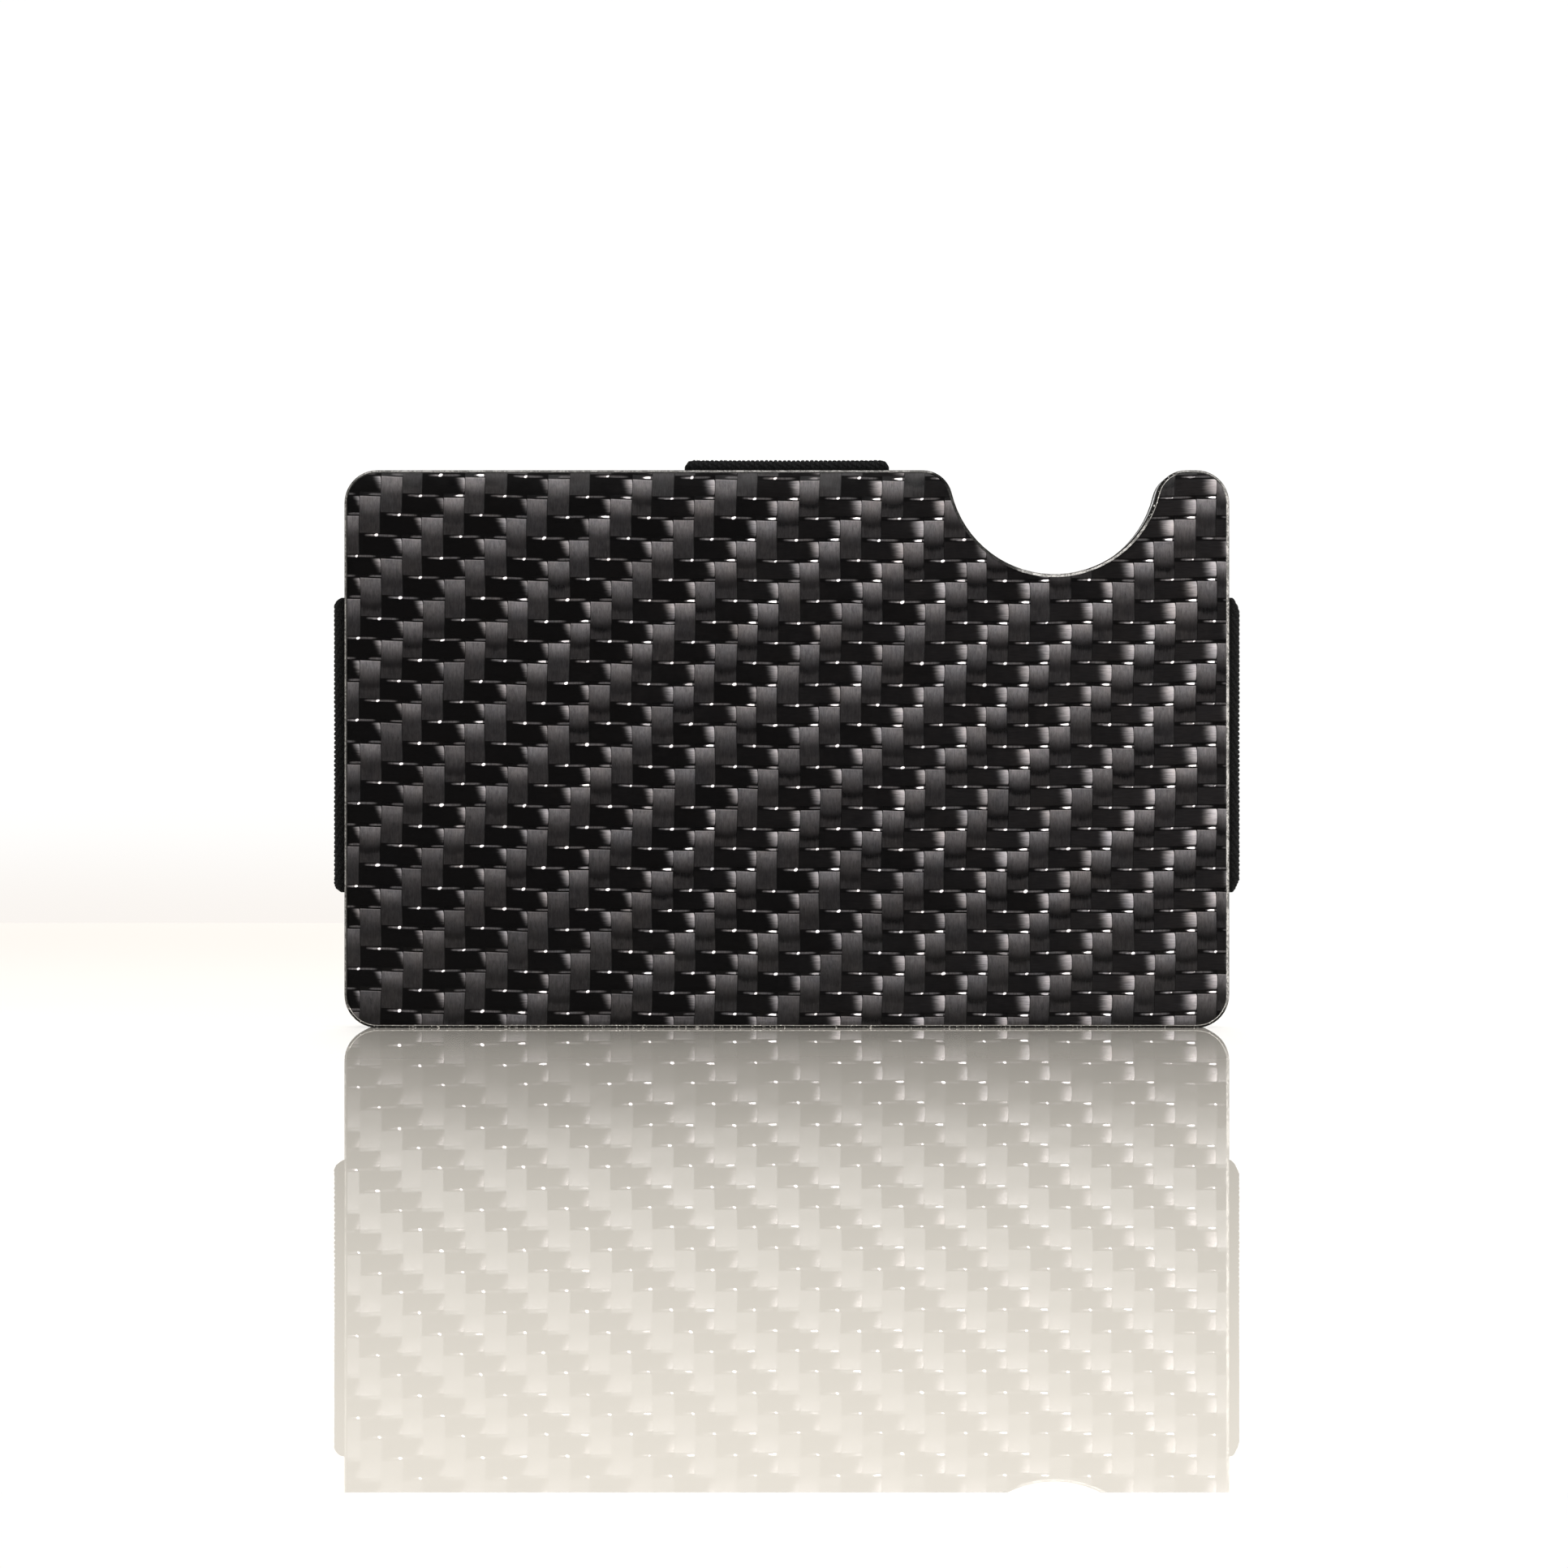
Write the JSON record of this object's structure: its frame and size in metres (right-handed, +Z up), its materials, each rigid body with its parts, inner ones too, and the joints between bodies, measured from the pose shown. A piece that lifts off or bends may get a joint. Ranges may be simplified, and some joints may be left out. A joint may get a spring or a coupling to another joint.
{
  "type": "minimalist wallet",
  "caption": "Slim rigid card wallet: two carbon-faced plates held together by elastic bands, with a thumb notch cut through the top edge.",
  "frame": {"origin": "middle of the footprint, at the bottom of the long edge that the wallet stands on", "axes": "+X along the width towards the thumb notch, +Z up from the card mouth to the notched edge, +Y through the thickness from the front face to the rear"},
  "size_m": [0.0884, 0.006, 0.0553],
  "materials": {
    "carbon_laminate": "2x2 twill carbon weave under gloss resin",
    "bond_film": "cured adhesive film",
    "aluminium": "satin machined",
    "black_anodised": "bead blasted and black anodised",
    "steel": "turned",
    "elastic": "ribbed knitted elastic"
  },
  "bodies": {
    "front_half": {"front_cover_plate": "carbon_laminate", "front_bond_film": "bond_film", "front_channel_frame": "black_anodised", "front_liner_plate": "aluminium", "front_frame_screws": "steel", "front_anchor_pins": "steel"},
    "elastic_bands": {"left_elastic_band": "elastic", "right_elastic_band": "elastic", "top_elastic_band": "elastic"},
    "rear_half": {"rear_cover_plate": "carbon_laminate", "rear_bond_film": "bond_film", "rear_channel_frame": "black_anodised", "rear_liner_plate": "aluminium", "rear_frame_screws": "steel", "rear_anchor_pins": "steel"}
  },
  "joints": [
    {"name": "spread", "type": "slide", "parent": "front_half", "child": "elastic_bands", "axis": [0, 1, 0], "range_m": [0, 0.009], "stiffness_N_per_m": 1000, "springref_m": -0.006, "deforming": ["left_elastic_band", "right_elastic_band", "top_elastic_band"]},
    {"name": "splay", "type": "hinge", "parent": "elastic_bands", "child": "rear_half", "pos_m": [0, 0, 0.0542], "axis": [1, 0, 0], "range_deg": [0, 8], "stiffness_Nm_per_rad": 0.72, "springref_deg": -11.46, "deforming": ["left_elastic_band", "right_elastic_band", "top_elastic_band"]}
  ]
}
